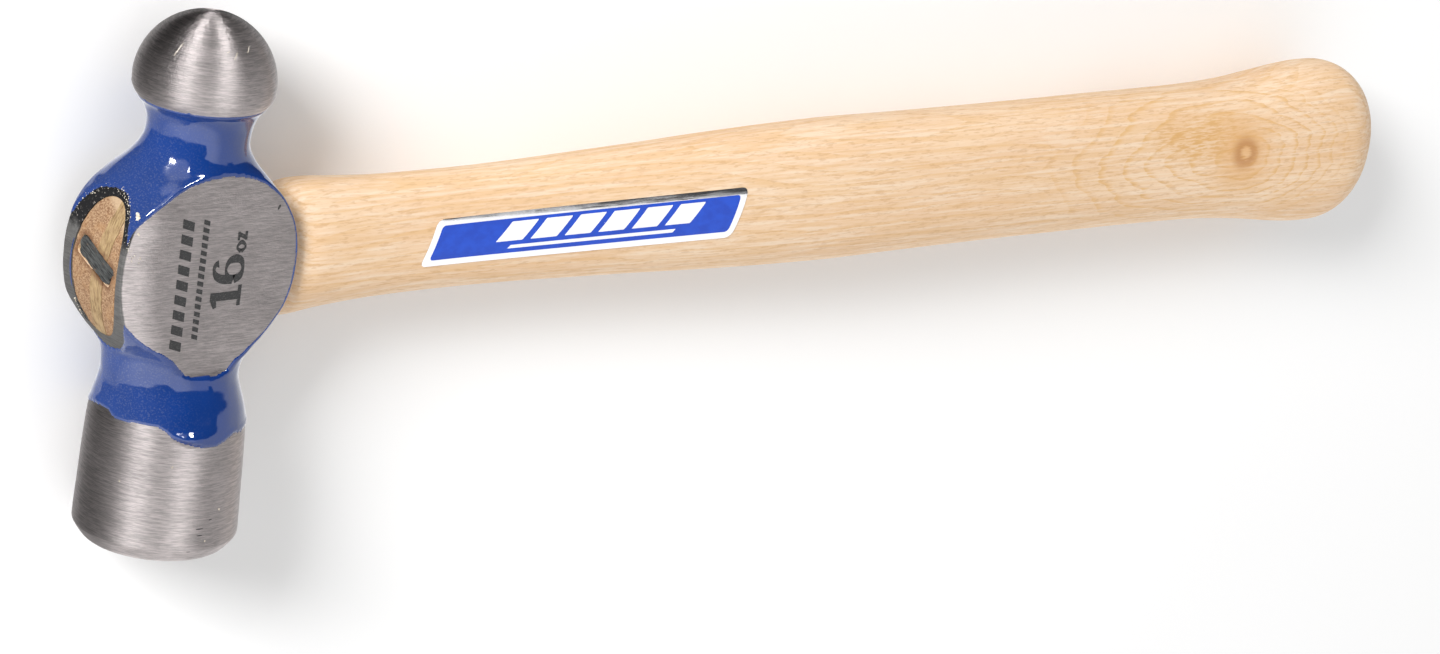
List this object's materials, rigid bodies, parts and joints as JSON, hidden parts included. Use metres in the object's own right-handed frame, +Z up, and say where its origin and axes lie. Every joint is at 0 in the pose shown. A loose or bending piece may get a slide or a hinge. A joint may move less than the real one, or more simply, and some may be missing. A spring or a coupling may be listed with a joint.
{
  "type": "ball peen hammer",
  "caption": "Ball peen hammer: forged steel head with a flat striking face and a round peen, wedged on a curved wooden handle.",
  "frame": {"origin": "centre of the bounding box's base: the hammer lies on its side, and the widest edge of the poll touches Z = 0", "axes": "+X along the handle from the head to the butt, +Y along the head from the striking face to the ball, +Z up, out of the marked cheek"},
  "size_m": [0.3612, 0.106, 0.0322],
  "materials": {
    "head_steel": "finely ground bare steel on ball, cheeks and poll, glossy cobalt-blue enamel on the necks and round the eye",
    "hickory": "pale, satin clear finish",
    "wedge_wood": "raw end grain",
    "wedge_steel": "dark, ground flush",
    "foil_label": "glossy blue foil with a bright border"
  },
  "bodies": {
    "root": {"head": "head_steel", "handle": "hickory", "wood_wedge": "wedge_wood", "steel_wedge": "wedge_steel", "label": "foil_label"}
  },
  "joints": []
}
